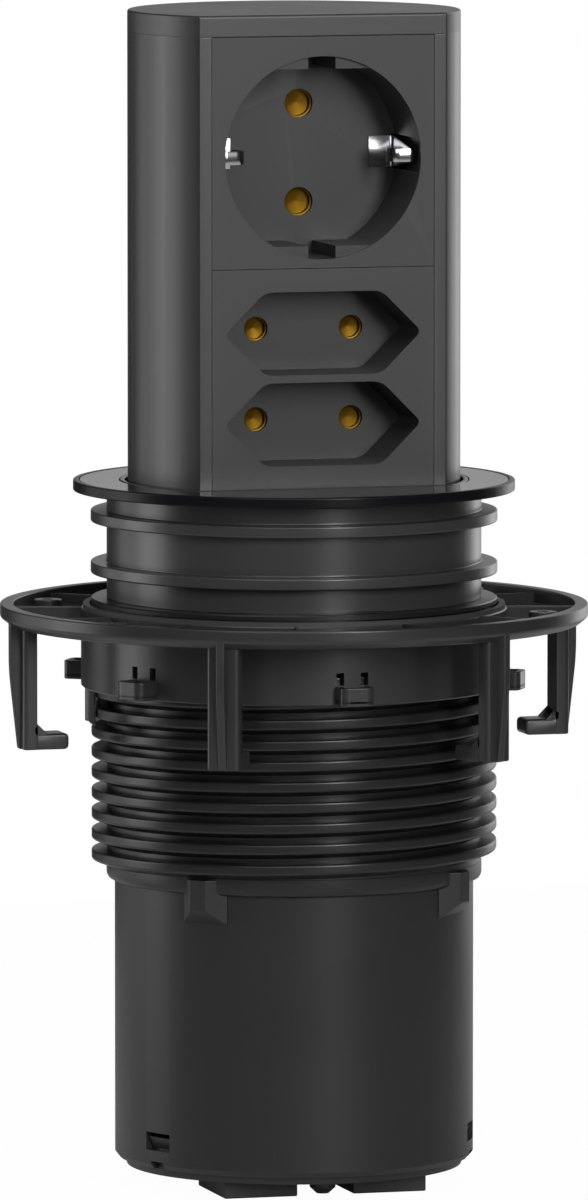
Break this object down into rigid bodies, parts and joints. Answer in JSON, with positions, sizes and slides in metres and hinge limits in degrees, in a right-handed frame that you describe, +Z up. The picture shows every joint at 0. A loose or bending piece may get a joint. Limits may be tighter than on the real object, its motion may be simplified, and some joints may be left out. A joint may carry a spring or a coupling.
{
  "type": "pop up desk socket",
  "caption": "Round worktop power column that rises on a spring from a threaded sleeve, with one earthed and two flat mains sockets and a screw-on fixing ring.",
  "frame": {"origin": "on the tower's axis, on the underside of the flange, which is the worktop's top surface", "axes": "+Z up along the tower's travel; the socket face looks along -Y"},
  "size_m": [0.114, 0.114, 0.2279],
  "materials": {
    "collar_plastic": "semi-gloss",
    "trim_gloss": "high gloss",
    "bezel_metal": "satin",
    "tower_satin": "satin",
    "cap_satin": "satin",
    "insert_matte": "fine matte",
    "technical_black": "semi-gloss",
    "housing_black": "semi-matte",
    "connector_black": "matte",
    "acetal_white": "matte",
    "carrier_grey": "matte",
    "contact_brass": "satin",
    "nickel": "bright",
    "spring_steel": "satin",
    "zinc_screw": "satin",
    "lead_rubber": "matte"
  },
  "bodies": {
    "housing": {"collar": "collar_plastic", "trim_plate": "trim_gloss", "bezel_ring": "bezel_metal", "guide_liner": "acetal_white", "threaded_sleeve": "technical_black", "lower_housing": "housing_black", "bottom_cap": "housing_black", "cap_screw": "technical_black", "inlet_connector": "connector_black", "inlet_pins": "contact_brass", "outlet_connector": "connector_black", "outlet_contacts": "contact_brass", "damper_rack": "acetal_white", "reel_bracket": "spring_steel", "reel_pin": "zinc_screw", "spring_tape": "spring_steel", "latch_pin": "zinc_screw", "coiled_lead": "lead_rubber"},
    "tower": {"tower_shell": "tower_satin", "tower_cap": "cap_satin", "schuko_insert": "insert_matte", "euro_insert": "insert_matte", "earth_bracket": "nickel", "schuko_contacts": "contact_brass", "euro_contacts": "contact_brass", "busbars": "contact_brass", "contact_carrier": "carrier_grey", "carrier_screws": "zinc_screw", "tower_base": "connector_black", "base_screws": "zinc_screw", "damper_body": "connector_black"},
    "reel": {"spring_reel": "spring_steel"},
    "latch": {"latch_hook": "acetal_white"},
    "gear": {"damper_gear": "acetal_white"},
    "washer": {"slip_washer": "connector_black"},
    "ring": {"fixing_ring": "technical_black"}
  },
  "joints": [
    {"name": "tower_slide", "type": "slide", "parent": "housing", "child": "tower", "axis": [0, 0, 1], "range_m": [-0.093, 0], "stiffness_N_per_m": 15, "springref_m": 0.33, "deforming": ["spring_tape", "coiled_lead"]},
    {"name": "reel_spin", "type": "hinge", "parent": "housing", "child": "reel", "pos_m": [0, -0.0272, -0.012], "axis": [1, 0, 0], "range_deg": [-60, 1271]},
    {"name": "damper_spin", "type": "hinge", "parent": "tower", "child": "gear", "pos_m": [0.009, -0.0244, -0.03], "axis": [0, 1, 0], "range_deg": [-1392, 60]},
    {"name": "latch_swing", "type": "hinge", "parent": "housing", "child": "latch", "pos_m": [-0.0125, -0.025, -0.1244], "axis": [0, 1, 0], "range_deg": [0, 12], "stiffness_Nm_per_rad": 0.02},
    {"name": "ring_travel", "type": "slide", "parent": "housing", "child": "washer", "axis": [0, 0, 1], "range_m": [-0.034, 0]},
    {"name": "ring_turn", "type": "hinge", "parent": "washer", "child": "ring", "pos_m": [0, 0, -0.022], "axis": [0, 0, 1], "range_deg": [-3120, 60]}
  ],
  "couplings": [
    {"joint": "reel_spin", "follows": "tower_slide", "rad_per_m": -227.27},
    {"joint": "damper_spin", "follows": "tower_slide", "rad_per_m": 250},
    {"joint": "ring_turn", "follows": "ring_travel", "rad_per_m": 1570.8}
  ]
}
